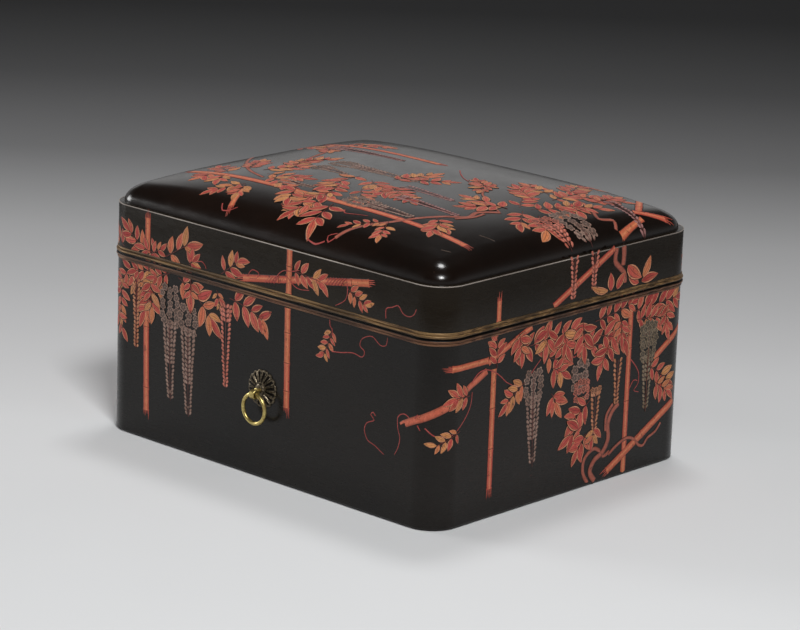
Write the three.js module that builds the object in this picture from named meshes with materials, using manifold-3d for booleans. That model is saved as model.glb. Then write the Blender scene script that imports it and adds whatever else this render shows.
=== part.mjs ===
// Rectangular lacquer box with a domed lid, metal mouth rims and a cord ring on each long side.
// Millimetres, +Z up. The origin is the centre of the foot, X runs along the long side.
import * as THREE from 'three';
import * as BufferGeometryUtils from 'three/addons/utils/BufferGeometryUtils.js';
import Module from 'manifold-3d';

const wasm = await Module();
wasm.setup();

// Box outline
const LENGTH = 300;
const WIDTH = 247;
const CORNER_RADIUS = 20;
const WALL = 6;

// Heights: the foot stands on zero, the seam is where the two mouth rims meet
const SEAM_HEIGHT = 122.5;
const LID_WALL_HEIGHT = 33.4;
const FOOT_HEIGHT = 0.8;
const FOOT_INSET = 1.2;
const BOTTOM_THICKNESS = 6;

// Domed top: a narrow ledge, a rounded shoulder and a gentle crown
const LEDGE = 3.5;
const SHOULDER_REACH = 18;
const SHOULDER_RISE = 10.8;
const CROWN_RISE = 15;
const CROWN_POWER = 3.6;
const TOP_THICKNESS = 6;

// Mouth rims: each covers the end of its walls and turns down over their outside
const RIM_COVER = 0.8;
const RIM_HEIGHT = 4.2;
const RIM_FIT = 0.05;
const BEAD_HEIGHT = 2.1;
const BEAD_REACH = 1.35;
const BEAD_RELIEF = 0.35;
const BEAD_ROOT = 0.2;
const STRIP_REACH = 0.55;
const GROOVE_WIDTH = 0.2;

// Riser inside the mouth
const LIP_THICKNESS = 2;
const LIP_DEPTH = 27;
const LIP_RISE = 11;
const LIP_CHAMFER = 0.6;
const LIP_FIT = 0.3;

// Cord-ring fitting
const FITTING_HEIGHT = 60;
const ROSETTE_DIAMETER = 25.5;
const PETALS = 16;
const PETAL_NOTCH = 1.1;
const PETAL_BULGE = 0.7;
const ROSETTE_EDGE = 0.7;
const ROSETTE_DOME = 1.6;
const HUB_DIAMETER = 7.6;
const HUB_HEIGHT = 3.7;
const HUB_ROUNDING = 0.7;
const RING_DIAMETER = 22;
const RING_WIRE = 2.7;
const EYE_STRAP = 1.2;
const EYE_WIDTH = 4;
const EYE_PLAY = 0.4;
const EYE_DROP = 2.4;
const EYE_STAND_OFF = 0.7;
const SHANK_THICKNESS = 1.8;
const SHANK_FIT = 0.3;
const WASHER_DIAMETER = 12;
const WASHER_THICKNESS = 0.8;
const LEG_LENGTH = 8;
const LEG_THICKNESS = 0.9;
const LEG_GAP = 0.3;

// Fineness of the faceted shapes
const CORNER_STEPS = 8;
const LONG_SIDE_STEPS = 8;
const SHORT_SIDE_STEPS = 6;
const SHOULDER_STEPS = 7;
const CROWN_RINGS = 5;
const PETAL_STEPS = 4;
const PETAL_RINGS = [0.9, 0.6, 0.25];
const BEAD_STEPS = 6;
const ROUND_SIDES = 28;
const HOLLOW_STEPS = 3;

// Levels and reaches worked out from the sizes above
const halfLength = LENGTH / 2;
const halfWidth = WIDTH / 2;
const bodyWallTop = SEAM_HEIGHT - RIM_COVER;
const lidWallFoot = SEAM_HEIGHT + RIM_COVER;
const ledgeHeight = SEAM_HEIGHT + LID_WALL_HEIGHT;
const lipInset = WALL + LIP_FIT;
const ringRadius = (RING_DIAMETER - RING_WIRE) / 2;

const lacquer = (color, roughness) => new THREE.MeshStandardMaterial({ color, roughness, metalness: 0 });
const metal = (color, roughness) => new THREE.MeshStandardMaterial({ color, roughness, metalness: 0.9 });
const blackLacquer = lacquer(0x1e1a17, 0.25);
const brownLacquer = lacquer(0x2a1d16, 0.35);
const gildedRim = metal(0x6b5436, 0.5);
const darkBronze = metal(0x4a4438, 0.45);
const brass = metal(0xa08c48, 0.35);

const box = new THREE.Group();

function addMesh(parent, name, geometry, material) {
  const mesh = new THREE.Mesh(geometry, material);
  mesh.name = name;
  parent.add(mesh);
  return mesh;
}

// Six times the enclosed volume, negative when the faces point inwards
function signedVolume(geometry) {
  const position = geometry.getAttribute('position');
  const index = geometry.getIndex();
  const a = new THREE.Vector3();
  const b = new THREE.Vector3();
  const c = new THREE.Vector3();
  let sum = 0;
  for (let i = 0; i < index.count; i += 3) {
    a.fromBufferAttribute(position, index.getX(i));
    b.fromBufferAttribute(position, index.getX(i + 1));
    c.fromBufferAttribute(position, index.getX(i + 2));
    sum += a.dot(b.cross(c));
  }
  return sum;
}

function facingOut(geometry) {
  if (signedVolume(geometry) < 0) {
    const corners = geometry.getIndex().array;
    for (let i = 0; i < corners.length; i += 3) {
      [corners[i + 1], corners[i + 2]] = [corners[i + 2], corners[i + 1]];
    }
  }
  return geometry;
}

// Joins rings of equal count into one closed body. Open ends are closed with a fan on an apex.
function loft(rings, apexes) {
  const count = rings[0].length;
  const points = rings.flat();
  const faces = [];
  const bands = apexes ? rings.length - 1 : rings.length;
  for (let band = 0; band < bands; band += 1) {
    const low = band * count;
    const high = ((band + 1) % rings.length) * count;
    for (let i = 0; i < count; i += 1) {
      const next = (i + 1) % count;
      faces.push(low + i, low + next, high + next, low + i, high + next, high + i);
    }
  }
  if (apexes) {
    const last = (rings.length - 1) * count;
    points.push(apexes[0], apexes[1]);
    const firstApex = points.length - 2;
    for (let i = 0; i < count; i += 1) {
      const next = (i + 1) % count;
      faces.push(firstApex, next, i, firstApex + 1, last + i, last + next);
    }
  }
  const geometry = new THREE.BufferGeometry().setFromPoints(points);
  geometry.setIndex(faces);
  return facingOut(geometry);
}

// The box's outline, moved in from the outer wall by the inset, at one height.
// Its long and short sides are split where a surface curves along them.
function outline(inset, height, longSteps = 1, shortSteps = 1) {
  const radius = Math.max(CORNER_RADIUS - inset, 0.5);
  const reachX = halfLength - inset - radius;
  const reachY = halfWidth - inset - radius;
  const points = [];
  const centres = [[1, 1], [-1, 1], [-1, -1], [1, -1]];
  centres.forEach(([sideX, sideY], corner) => {
    for (let step = 0; step <= CORNER_STEPS; step += 1) {
      const angle = (corner + step / CORNER_STEPS) * Math.PI / 2;
      const x = sideX * reachX + radius * Math.cos(angle);
      const y = sideY * reachY + radius * Math.sin(angle);
      points.push(new THREE.Vector3(x, y, height));
    }
    const [nextX, nextY] = centres[(corner + 1) % 4];
    const angle = (corner + 1) * Math.PI / 2;
    const end = new THREE.Vector3(
      nextX * reachX + radius * Math.cos(angle),
      nextY * reachY + radius * Math.sin(angle),
      height,
    );
    const start = points[points.length - 1].clone();
    const steps = corner % 2 === 0 ? longSteps : shortSteps;
    for (let step = 1; step < steps; step += 1) {
      points.push(start.clone().lerp(end, step / steps));
    }
  });
  return points;
}

function toManifold(geometry) {
  const bare = geometry.clone();
  bare.deleteAttribute('normal');
  bare.deleteAttribute('uv');
  const merged = BufferGeometryUtils.mergeVertices(bare, 1e-4);
  return new wasm.Manifold(new wasm.Mesh({
    numProp: 3,
    vertProperties: new Float32Array(merged.getAttribute('position').array),
    triVerts: new Uint32Array(merged.getIndex().array),
  }));
}

function fromManifold(solid) {
  const mesh = solid.getMesh();
  const geometry = new THREE.BufferGeometry();
  geometry.setAttribute('position', new THREE.BufferAttribute(mesh.vertProperties, 3));
  geometry.setIndex(new THREE.BufferAttribute(mesh.triVerts, 1));
  return geometry;
}

// A block between two opposite corners
function block(low, high) {
  const size = high.map((value, axis) => value - low[axis]);
  const geometry = new THREE.BoxGeometry(...size);
  geometry.translate(...high.map((value, axis) => (value + low[axis]) / 2));
  return geometry;
}

// Four straight boards between the corner blocks
function addBoards(parent, prefix, foot, top, material, slot) {
  const alongX = halfLength - CORNER_RADIUS;
  const alongY = halfWidth - CORNER_RADIUS;
  for (const [name, side] of [['front', -1], ['back', 1]]) {
    const outer = side * halfWidth;
    const inner = side * (halfWidth - WALL);
    const lowY = Math.min(outer, inner);
    const highY = Math.max(outer, inner);
    let geometry = block([-alongX, lowY, foot], [alongX, highY, top]);
    if (slot) {
      const tool = block(
        [-slot.halfWidth, lowY - WALL, slot.height - slot.halfHeight],
        [slot.halfWidth, highY + WALL, slot.height + slot.halfHeight],
      );
      geometry = fromManifold(toManifold(geometry).subtract(toManifold(tool)));
    }
    addMesh(parent, `${prefix}_${name}_board`, geometry, material);
  }
  for (const [name, side] of [['left', -1], ['right', 1]]) {
    const outer = side * halfLength;
    const inner = side * (halfLength - WALL);
    const geometry = block(
      [Math.min(outer, inner), -alongY, foot],
      [Math.max(outer, inner), alongY, top],
    );
    addMesh(parent, `${prefix}_${name}_board`, geometry, material);
  }
}

// Four rounded corner blocks, each a quarter of a ring in plan. An arc gets two steps per segment.
function addCorners(parent, prefix, foot, top, material) {
  const section = new THREE.Shape();
  section.absarc(0, 0, CORNER_RADIUS, 0, Math.PI / 2, false);
  section.absarc(0, 0, CORNER_RADIUS - WALL, Math.PI / 2, 0, true);
  section.closePath();
  for (let corner = 0; corner < 4; corner += 1) {
    const geometry = new THREE.ExtrudeGeometry(section, {
      depth: top - foot,
      bevelEnabled: false,
      curveSegments: CORNER_STEPS / 2,
    });
    const sideX = corner === 0 || corner === 3 ? 1 : -1;
    const sideY = corner < 2 ? 1 : -1;
    const mesh = addMesh(parent, `${prefix}_corner_${corner + 1}`, geometry, material);
    mesh.position.set(
      sideX * (halfLength - CORNER_RADIUS),
      sideY * (halfWidth - CORNER_RADIUS),
      foot,
    );
    mesh.rotation.z = corner * Math.PI / 2;
  }
}

// Bottom board: its foot edge shows below the walls, its upper part fits between them
function bottomBoard() {
  const rings = [
    outline(FOOT_INSET, 0),
    outline(FOOT_INSET, FOOT_HEIGHT),
    outline(lipInset, FOOT_HEIGHT),
    outline(lipInset, FOOT_HEIGHT + BOTTOM_THICKNESS),
  ];
  const apexes = [
    new THREE.Vector3(0, 0, 0),
    new THREE.Vector3(0, 0, FOOT_HEIGHT + BOTTOM_THICKNESS),
  ];
  return loft(rings, apexes);
}

// Mouth rim: way is 1 for the lid's rim, above the seam, and -1 for the body's, below it
function mouthRim(way) {
  const beadCentre = BEAD_RELIEF + BEAD_HEIGHT / 2;
  const beadFoot = BEAD_RELIEF + BEAD_HEIGHT;
  const section = [[WALL, RIM_COVER], [WALL, 0], [0, 0]];
  for (let step = 0; step <= BEAD_STEPS; step += 1) {
    const angle = Math.PI * step / BEAD_STEPS;
    const reach = BEAD_ROOT + (BEAD_REACH - BEAD_ROOT) * Math.sin(angle);
    section.push([-reach, beadCentre - (BEAD_HEIGHT / 2) * Math.cos(angle)]);
  }
  section.push([-STRIP_REACH, beadFoot + GROOVE_WIDTH]);
  section.push([-STRIP_REACH, RIM_HEIGHT - GROOVE_WIDTH]);
  section.push([-BEAD_ROOT, RIM_HEIGHT]);
  section.push([-RIM_FIT, RIM_HEIGHT]);
  section.push([-RIM_FIT, RIM_COVER]);
  return loft(section.map(([inset, rise]) => outline(inset, SEAM_HEIGHT + way * rise)));
}

function innerLip() {
  const foot = SEAM_HEIGHT - LIP_DEPTH;
  const top = SEAM_HEIGHT + LIP_RISE;
  const inner = lipInset + LIP_THICKNESS;
  const section = [
    [lipInset, foot],
    [lipInset, top - LIP_CHAMFER],
    [lipInset + LIP_CHAMFER, top],
    [inner - LIP_CHAMFER, top],
    [inner, top - LIP_CHAMFER],
    [inner, foot + LIP_CHAMFER],
    [inner - LIP_CHAMFER, foot],
  ];
  return loft(section.map(([inset, height]) => outline(inset, height)));
}

// How far the crown lifts a point of the top above the shoulder
function crownRise(point) {
  const acrossX = Math.abs(point.x) / (halfLength - LEDGE);
  const acrossY = Math.abs(point.y) / (halfWidth - LEDGE);
  return CROWN_RISE * (1 - acrossX ** CROWN_POWER) * (1 - acrossY ** CROWN_POWER);
}

function shoulderRise(inset) {
  const left = Math.max(1 - (inset - LEDGE) / SHOULDER_REACH, 0);
  return SHOULDER_RISE * Math.sqrt(1 - left ** 2);
}

// One ring of the dome's skin, lowered by the drop
function domeRing(inset, scale, drop) {
  return outline(inset, 0, LONG_SIDE_STEPS, SHORT_SIDE_STEPS).map((point) => {
    point.x *= scale;
    point.y *= scale;
    point.z = ledgeHeight + shoulderRise(inset) + crownRise(point) - drop;
    return point;
  });
}

// Domed top board: an outer skin, and a hollowed underside that follows it
function topBoard() {
  const shoulderEnd = LEDGE + SHOULDER_REACH;
  const hollowEdge = LEDGE + TOP_THICKNESS;
  const outer = [outline(LEDGE, ledgeHeight, LONG_SIDE_STEPS, SHORT_SIDE_STEPS)];
  for (let step = 1; step <= SHOULDER_STEPS; step += 1) {
    const angle = (step / SHOULDER_STEPS) * Math.PI / 2;
    outer.push(domeRing(LEDGE + SHOULDER_REACH * (1 - Math.cos(angle)), 1, 0));
  }
  const inner = [outline(hollowEdge, ledgeHeight, LONG_SIDE_STEPS, SHORT_SIDE_STEPS)];
  for (let step = 0; step <= HOLLOW_STEPS; step += 1) {
    const inset = hollowEdge + (shoulderEnd - hollowEdge) * (step / HOLLOW_STEPS);
    inner.push(domeRing(inset, 1, TOP_THICKNESS));
  }
  for (let ring = 1; ring < CROWN_RINGS; ring += 1) {
    const scale = 1 - ring / CROWN_RINGS;
    outer.push(domeRing(shoulderEnd, scale, 0));
    inner.push(domeRing(shoulderEnd, scale, TOP_THICKNESS));
  }
  const peak = ledgeHeight + SHOULDER_RISE + CROWN_RISE;
  const apexes = [new THREE.Vector3(0, 0, peak - TOP_THICKNESS), new THREE.Vector3(0, 0, peak)];
  return loft([...inner.reverse(), ...outer], apexes);
}

// Fitting pieces are drawn on a wall whose outer face is y = 0, with +Y pointing away from the box
const ringBow = ringRadius - Math.sqrt(ringRadius ** 2 - (EYE_WIDTH / 2) ** 2);
const eyeHole = RING_WIRE / 2 + ringBow + EYE_PLAY;
const eyeRadius = eyeHole + EYE_STRAP;
const eyeReach = HUB_HEIGHT + EYE_STAND_OFF + eyeRadius;
const slotHalfWidth = EYE_WIDTH / 2 + SHANK_FIT;
const slotHalfHeight = SHANK_THICKNESS / 2 + SHANK_FIT;

// Chrysanthemum plate: rounded petals round a raised hub, slotted for the shank
function rosette() {
  const samples = PETALS * PETAL_STEPS;
  const hubRadius = HUB_DIAMETER / 2;
  const rim = ROSETTE_DIAMETER / 2;
  const ring = (radiusOf, heightOf) => {
    const points = [];
    for (let i = 0; i < samples; i += 1) {
      const angle = (i / samples) * 2 * Math.PI;
      const across = 2 * ((i % PETAL_STEPS) / PETAL_STEPS) - 1;
      const bulge = 1 - across ** 2;
      const radius = radiusOf(bulge);
      const x = radius * Math.cos(angle);
      const z = radius * Math.sin(angle);
      points.push(new THREE.Vector3(x, heightOf(bulge), z));
    }
    return points;
  };
  const flat = (value) => () => value;
  const edge = (bulge) => rim - PETAL_NOTCH * (1 - bulge);
  const petal = (share) => ring(
    (bulge) => hubRadius + (edge(bulge) - hubRadius) * share,
    (bulge) => ROSETTE_EDGE + ROSETTE_DOME * (1 - share ** 2)
      + PETAL_BULGE * bulge * Math.sin(Math.PI * share),
  );
  const rings = [
    ring(edge, flat(0)),
    ring(edge, flat(ROSETTE_EDGE)),
    ...PETAL_RINGS.map(petal),
    ring(flat(hubRadius), flat(ROSETTE_EDGE + ROSETTE_DOME)),
    ring(flat(hubRadius), flat(HUB_HEIGHT - HUB_ROUNDING)),
    ring(flat(hubRadius - HUB_ROUNDING), flat(HUB_HEIGHT)),
  ];
  const plate = loft(rings, [new THREE.Vector3(0, 0, 0), new THREE.Vector3(0, HUB_HEIGHT, 0)]);
  const slot = block(
    [-slotHalfWidth, -1, -slotHalfHeight],
    [slotHalfWidth, HUB_HEIGHT + 1, slotHalfHeight],
  );
  return fromManifold(toManifold(plate).subtract(toManifold(slot)));
}

// Washer against the inside of the wall
function washer() {
  const radius = WASHER_DIAMETER / 2;
  const disc = new THREE.CylinderGeometry(radius, radius, WASHER_THICKNESS, ROUND_SIDES);
  disc.translate(0, -WALL - WASHER_THICKNESS / 2, 0);
  const slot = block(
    [-slotHalfWidth, -WALL - 2 * WASHER_THICKNESS, -slotHalfHeight],
    [slotHalfWidth, -WALL + WASHER_THICKNESS, slotHalfHeight],
  );
  return fromManifold(toManifold(disc).subtract(toManifold(slot)));
}

// A round bar along X, on the line that the ring swings about
function barAlongX(radius, length) {
  const geometry = new THREE.CylinderGeometry(radius, radius, length, ROUND_SIDES);
  geometry.rotateZ(Math.PI / 2);
  geometry.translate(0, eyeReach, -EYE_DROP);
  return geometry;
}

// Strap eye: a loop outside, a flat shank through the wall and two legs bent over inside
function eye() {
  const halfEye = EYE_WIDTH / 2;
  const legFace = -WALL - WASHER_THICKNESS - LEG_GAP;
  const halfShank = SHANK_THICKNESS / 2;
  const loop = toManifold(barAlongX(eyeRadius, EYE_WIDTH));
  const shank = toManifold(block(
    [-halfEye, legFace - LEG_THICKNESS, -halfShank],
    [halfEye, eyeReach, halfShank],
  ));
  const legs = toManifold(block(
    [-halfEye, legFace - LEG_THICKNESS, -halfShank - LEG_LENGTH],
    [halfEye, legFace, halfShank + LEG_LENGTH],
  ));
  const hole = toManifold(barAlongX(eyeHole, 2 * EYE_WIDTH));
  return fromManifold(loop.add(shank).add(legs).subtract(hole));
}

// Ring hanging from the eye, parallel to the wall
function ring() {
  const geometry = new THREE.TorusGeometry(ringRadius, RING_WIRE / 2, 10, 36);
  geometry.rotateX(Math.PI / 2);
  geometry.translate(0, eyeReach, -EYE_DROP - ringRadius);
  return geometry;
}

function addFitting(side, turn) {
  const fitting = new THREE.Group();
  fitting.position.set(0, turn ? -halfWidth : halfWidth, FITTING_HEIGHT);
  fitting.rotation.z = turn ? Math.PI : 0;
  addMesh(fitting, `${side}_rosette`, rosette(), darkBronze);
  addMesh(fitting, `${side}_eye`, eye(), brass);
  addMesh(fitting, `${side}_washer`, washer(), darkBronze);
  addMesh(fitting, `${side}_ring`, ring(), brass);
  box.add(fitting);
}

addMesh(box, 'body_bottom_board', bottomBoard(), brownLacquer);
addBoards(box, 'body', FOOT_HEIGHT, bodyWallTop, blackLacquer, {
  height: FITTING_HEIGHT,
  halfWidth: slotHalfWidth,
  halfHeight: slotHalfHeight,
});
addCorners(box, 'body', FOOT_HEIGHT, bodyWallTop, blackLacquer);
addMesh(box, 'body_mouth_rim', mouthRim(-1), gildedRim);
addMesh(box, 'inner_lip', innerLip(), brownLacquer);

const lid = new THREE.Group();
addBoards(lid, 'lid', lidWallFoot, ledgeHeight, blackLacquer, null);
addCorners(lid, 'lid', lidWallFoot, ledgeHeight, blackLacquer);
addMesh(lid, 'lid_mouth_rim', mouthRim(1), gildedRim);
addMesh(lid, 'lid_top_board', topBoard(), blackLacquer);
box.add(lid);

addFitting('front', true);
addFitting('back', false);

export default box;
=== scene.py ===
# Lacquered box with wisteria on a bamboo trellis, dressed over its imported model. Metres, +Z up.
import math
import random

import bpy
from mathutils import Matrix, Vector


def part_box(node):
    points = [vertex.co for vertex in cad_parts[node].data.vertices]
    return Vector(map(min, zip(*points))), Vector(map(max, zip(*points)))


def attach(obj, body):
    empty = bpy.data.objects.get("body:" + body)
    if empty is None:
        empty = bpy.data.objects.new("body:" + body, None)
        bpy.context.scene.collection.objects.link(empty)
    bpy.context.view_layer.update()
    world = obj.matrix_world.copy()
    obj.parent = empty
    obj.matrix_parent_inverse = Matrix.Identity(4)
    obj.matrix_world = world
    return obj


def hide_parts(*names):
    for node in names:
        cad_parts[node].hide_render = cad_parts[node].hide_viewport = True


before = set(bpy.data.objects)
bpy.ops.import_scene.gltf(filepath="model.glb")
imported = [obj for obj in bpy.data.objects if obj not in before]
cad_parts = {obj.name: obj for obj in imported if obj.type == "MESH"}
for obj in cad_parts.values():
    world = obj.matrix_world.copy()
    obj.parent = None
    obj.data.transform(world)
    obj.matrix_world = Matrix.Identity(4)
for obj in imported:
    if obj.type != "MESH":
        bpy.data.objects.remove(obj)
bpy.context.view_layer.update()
MM = 0.001

# Camera, fitted to the box's edges in the photograph
CAMERA_AZIMUTH = 42.56
CAMERA_ELEVATION = 15.40
CAMERA_ROLL = 2.02
CAMERA_DISTANCE = 2.1575
CAMERA_AIM_HEIGHT = 0.120
CAMERA_SHIFT_RIGHT = 0.0012
CAMERA_SHIFT_UP = -0.0321
CAMERA_LENS = 147.06

# Sizes taken from the frame
front_low, front_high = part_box("body_front_board")
left_low, left_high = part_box("body_left_board")
corner_low, corner_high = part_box("body_corner_1")
lid_low, lid_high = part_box("lid_front_board")
top_low, top_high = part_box("lid_top_board")
rim_low, rim_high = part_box("body_mouth_rim")
lip_low, lip_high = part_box("inner_lip")
board_low, board_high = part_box("body_bottom_board")
rosette_low, rosette_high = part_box("front_rosette")
ring_low, ring_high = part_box("front_ring")
eye_low, eye_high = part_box("front_eye")
washer_low, washer_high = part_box("front_washer")

HALF_LENGTH = -left_low.x
HALF_WIDTH = -front_low.y
CORNER_RADIUS = corner_high.x - corner_low.x
WALL = front_high.y - front_low.y
FOOT = front_low.z
BODY_TOP = front_high.z
SEAM = rim_high.z
LID_FOOT = lid_low.z
LEDGE_HEIGHT = lid_high.z
LEDGE = HALF_LENGTH - top_high.x
PEAK = top_high.z
BEAD_REACH = rim_high.x - HALF_LENGTH
RIM_HEIGHT = rim_high.z - rim_low.z

# The dome's form, as the solid's
SHOULDER_REACH = 18 * MM
SHOULDER_RISE = 10.8 * MM
CROWN_POWER = 3.6
PAINT_ALLOWANCE = 0.7 * MM
CROWN_RISE = PEAK - LEDGE_HEIGHT - SHOULDER_RISE - PAINT_ALLOWANCE
TOP_THICKNESS = 6 * MM


# Materials


def linear(red, green, blue):
    """A colour written as 0 to 255 display values, as the linear colour that shaders take."""
    return tuple(
        c / 12.92 if c <= 0.04045 else ((c + 0.055) / 1.055) ** 2.4
        for c in (red / 255, green / 255, blue / 255)
    ) + (1.0,)


class Shader:
    """A material under construction, with short calls for the nodes used here."""

    def __init__(self, name, roughness, metallic=0.0, specular=0.5):
        self.material = bpy.data.materials.new(name)
        self.material.use_nodes = True
        self.tree = self.material.node_tree
        self.surface = self.tree.nodes["Principled BSDF"]
        self.surface.inputs["Roughness"].default_value = roughness
        self.surface.inputs["Metallic"].default_value = metallic
        self.surface.inputs["Specular IOR Level"].default_value = specular

    def link(self, source, target):
        self.tree.links.new(source, target)
        return source

    def coordinates(self, kind="Object", stretch=(1, 1, 1)):
        if kind == "UV":
            node = self.tree.nodes.new("ShaderNodeUVMap")
            node.uv_map = "run"
            source = node.outputs[0]
        else:
            source = self.tree.nodes.new("ShaderNodeTexCoord").outputs[kind]
        mapping = self.tree.nodes.new("ShaderNodeMapping")
        mapping.inputs["Scale"].default_value = stretch
        self.link(source, mapping.inputs["Vector"])
        return mapping.outputs[0]

    def noise(self, vector, scale, detail=4, roughness=0.55, distortion=0.0):
        node = self.tree.nodes.new("ShaderNodeTexNoise")
        node.inputs["Scale"].default_value = scale
        node.inputs["Detail"].default_value = detail
        node.inputs["Roughness"].default_value = roughness
        node.inputs["Distortion"].default_value = distortion
        self.link(vector, node.inputs["Vector"])
        return node.outputs["Fac"]

    def ramp(self, factor, *stops):
        node = self.tree.nodes.new("ShaderNodeValToRGB")
        elements = node.color_ramp.elements
        while len(elements) < len(stops):
            elements.new(0.5)
        for element, (position, colour) in zip(elements, stops):
            element.position = position
            element.color = colour if isinstance(colour, tuple) else (colour,) * 3 + (1,)
        self.link(factor, node.inputs["Fac"])
        return node.outputs["Color"]

    def mix(self, factor, first, second, blend="MIX"):
        node = self.tree.nodes.new("ShaderNodeMix")
        node.data_type = "RGBA"
        node.blend_type = blend
        for socket, value in ((node.inputs[0], factor), (node.inputs[6], first), (node.inputs[7], second)):
            if isinstance(value, bpy.types.NodeSocket):
                self.link(value, socket)
            else:
                socket.default_value = value
        return node.outputs[2]

    def bump(self, height, strength, distance):
        node = self.tree.nodes.new("ShaderNodeBump")
        node.inputs["Strength"].default_value = strength
        node.inputs["Distance"].default_value = distance
        self.link(height, node.inputs["Height"])
        self.link(node.outputs[0], self.surface.inputs["Normal"])

    def set(self, name, source):
        self.link(source, self.surface.inputs[name])


def lacquer_material(name, dark, worn, roughness, specular, bump=0.05):
    """Polished lacquer: a deep ground with faint clouding, fine rubbing marks and a hint of waviness."""
    shader = Shader(name, roughness, specular=specular)
    place = shader.coordinates()
    cloud = shader.noise(place, 9, 5)
    rubbed = shader.noise(shader.coordinates(stretch=(1, 1, 5)), 60, 6, 0.7)
    ground = shader.ramp(cloud, (0.35, dark), (0.75, worn))
    speck = shader.ramp(shader.noise(place, 420, 2), (0.76, 0.0), (0.80, 0.5))
    shader.set("Base Color", shader.mix(speck, ground, linear(84, 66, 52)))
    shader.set("Roughness", shader.ramp(rubbed, (0.3, roughness * 0.8), (0.75, roughness * 1.25)))
    shader.bump(shader.noise(place, 26, 3), bump, 0.4 * MM)
    return shader.material


def rim_material(name, gilt, brown, dark, side):
    """Worn gilding: long streaks of gold, red-brown and dark metal, with painted shade that turns the colour
    black in the crack at the seam.
    """
    shader = Shader(name, 0.42, metallic=0.35, specular=0.35)
    streak = shader.noise(shader.coordinates("UV", (34, 1500, 1)), 1.0, 6, 0.68, 0.3)
    patch = shader.noise(shader.coordinates("UV", (11, 60, 1)), 1.0, 3)
    fine = shader.noise(shader.coordinates("UV", (420, 3600, 1)), 1.0, 4, 0.7)
    colour = shader.ramp(streak, (0.38, dark), (0.47, brown), (0.58, gilt), (0.72, brown))
    aged = shader.mix(shader.ramp(patch, (0.44, 0.0), (0.62, 0.8)), colour, dark)
    worn = shader.mix(shader.ramp(fine, (0.50, 0.0), (0.68, 0.45)), aged, gilt)
    # Painted shade: within about a millimetre of the seam the colour turns black, standing in for the shadow
    # in the crack.
    height = shader.tree.nodes.new("ShaderNodeSeparateXYZ")
    shader.link(shader.coordinates(), height.inputs[0])
    painted_seam_shade = shader.tree.nodes.new("ShaderNodeMapRange")
    painted_seam_shade.inputs["From Min"].default_value = SEAM + side * 0.75 * MM
    painted_seam_shade.inputs["From Max"].default_value = SEAM + side * 1.15 * MM
    shader.link(height.outputs["Z"], painted_seam_shade.inputs["Value"])
    shader.set("Base Color", shader.mix(painted_seam_shade.outputs["Result"], linear(5, 4, 3), worn))
    shader.set("Roughness", shader.ramp(streak, (0.3, 0.62), (0.7, 0.34)))
    shader.bump(streak, 0.6, 0.18 * MM)
    return shader.material


def metal_material(name, bright, dark, roughness, scale):
    """Metal with clouded tarnish and a faint cast surface."""
    shader = Shader(name, roughness, metallic=0.9)
    place = shader.coordinates()
    cloud = shader.noise(place, scale, 5, 0.6)
    shader.set("Base Color", shader.ramp(cloud, (0.34, dark), (0.62, bright)))
    shader.set("Roughness", shader.ramp(cloud, (0.3, roughness * 1.35), (0.7, roughness * 0.8)))
    shader.bump(shader.noise(place, scale * 5, 3), 0.25, 0.08 * MM)
    return shader.material


def painted_material(name, roughness, metallic):
    """Raised and painted lacquer: the tint is stored on the mesh, the powder and rubbing are noise."""
    shader = Shader(name, roughness, metallic=metallic, specular=0.3)
    tint = shader.tree.nodes.new("ShaderNodeVertexColor")
    tint.layer_name = "tint"
    place = shader.coordinates()
    grain = shader.noise(place, 1100, 4, 0.7)
    wear = shader.noise(place, 330, 5, 0.7)
    shade = shader.ramp(grain, (0.32, 0.66), (0.68, 1.0))
    toned = shader.mix(1.0, tint.outputs["Color"], shade, "MULTIPLY")
    worn = shader.ramp(wear, (0.59, 0.0), (0.67, 0.75))
    shader.set("Base Color", shader.mix(worn, toned, linear(44, 24, 19)))
    shader.set("Roughness", shader.ramp(grain, (0.3, roughness * 1.2), (0.7, roughness * 0.8)))
    shader.bump(grain, 0.25, 0.05 * MM)
    return shader.material


BLACK = lacquer_material("black_lacquer", linear(14, 12, 10), linear(24, 19, 15), 0.27, 0.26)
LID_BLACK = lacquer_material("lid_wall_lacquer", linear(23, 17, 10), linear(33, 26, 16), 0.27, 0.26)
TOP_BLACK = lacquer_material("lid_lacquer", linear(15, 9, 6), linear(31, 18, 12), 0.20, 0.42)
INSIDE = lacquer_material("inner_lacquer", linear(22, 15, 12), linear(38, 25, 19), 0.36, 0.35)
LID_RIM = rim_material("lid_rim_gilt", linear(160, 128, 84), linear(92, 66, 43), linear(38, 28, 21), 1)
BODY_RIM = rim_material("body_rim_gilt", linear(142, 104, 74), linear(94, 58, 42), linear(38, 27, 22), -1)
EDGE_LINE = lacquer_material("ledge_edge_wear", linear(124, 114, 106), linear(212, 202, 192), 0.5, 0.3, 0.3)
BRONZE = metal_material("dark_bronze", linear(126, 114, 94), linear(28, 24, 20), 0.36, 700)
GROOVE = metal_material("bronze_groove", linear(34, 29, 24), linear(10, 9, 8), 0.6, 700)
BRASS = metal_material("rubbed_brass", linear(212, 194, 124), linear(142, 118, 64), 0.32, 500)
PAINT = painted_material("red_gold_painting", 0.5, 0.0)


# Mesh building


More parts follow.
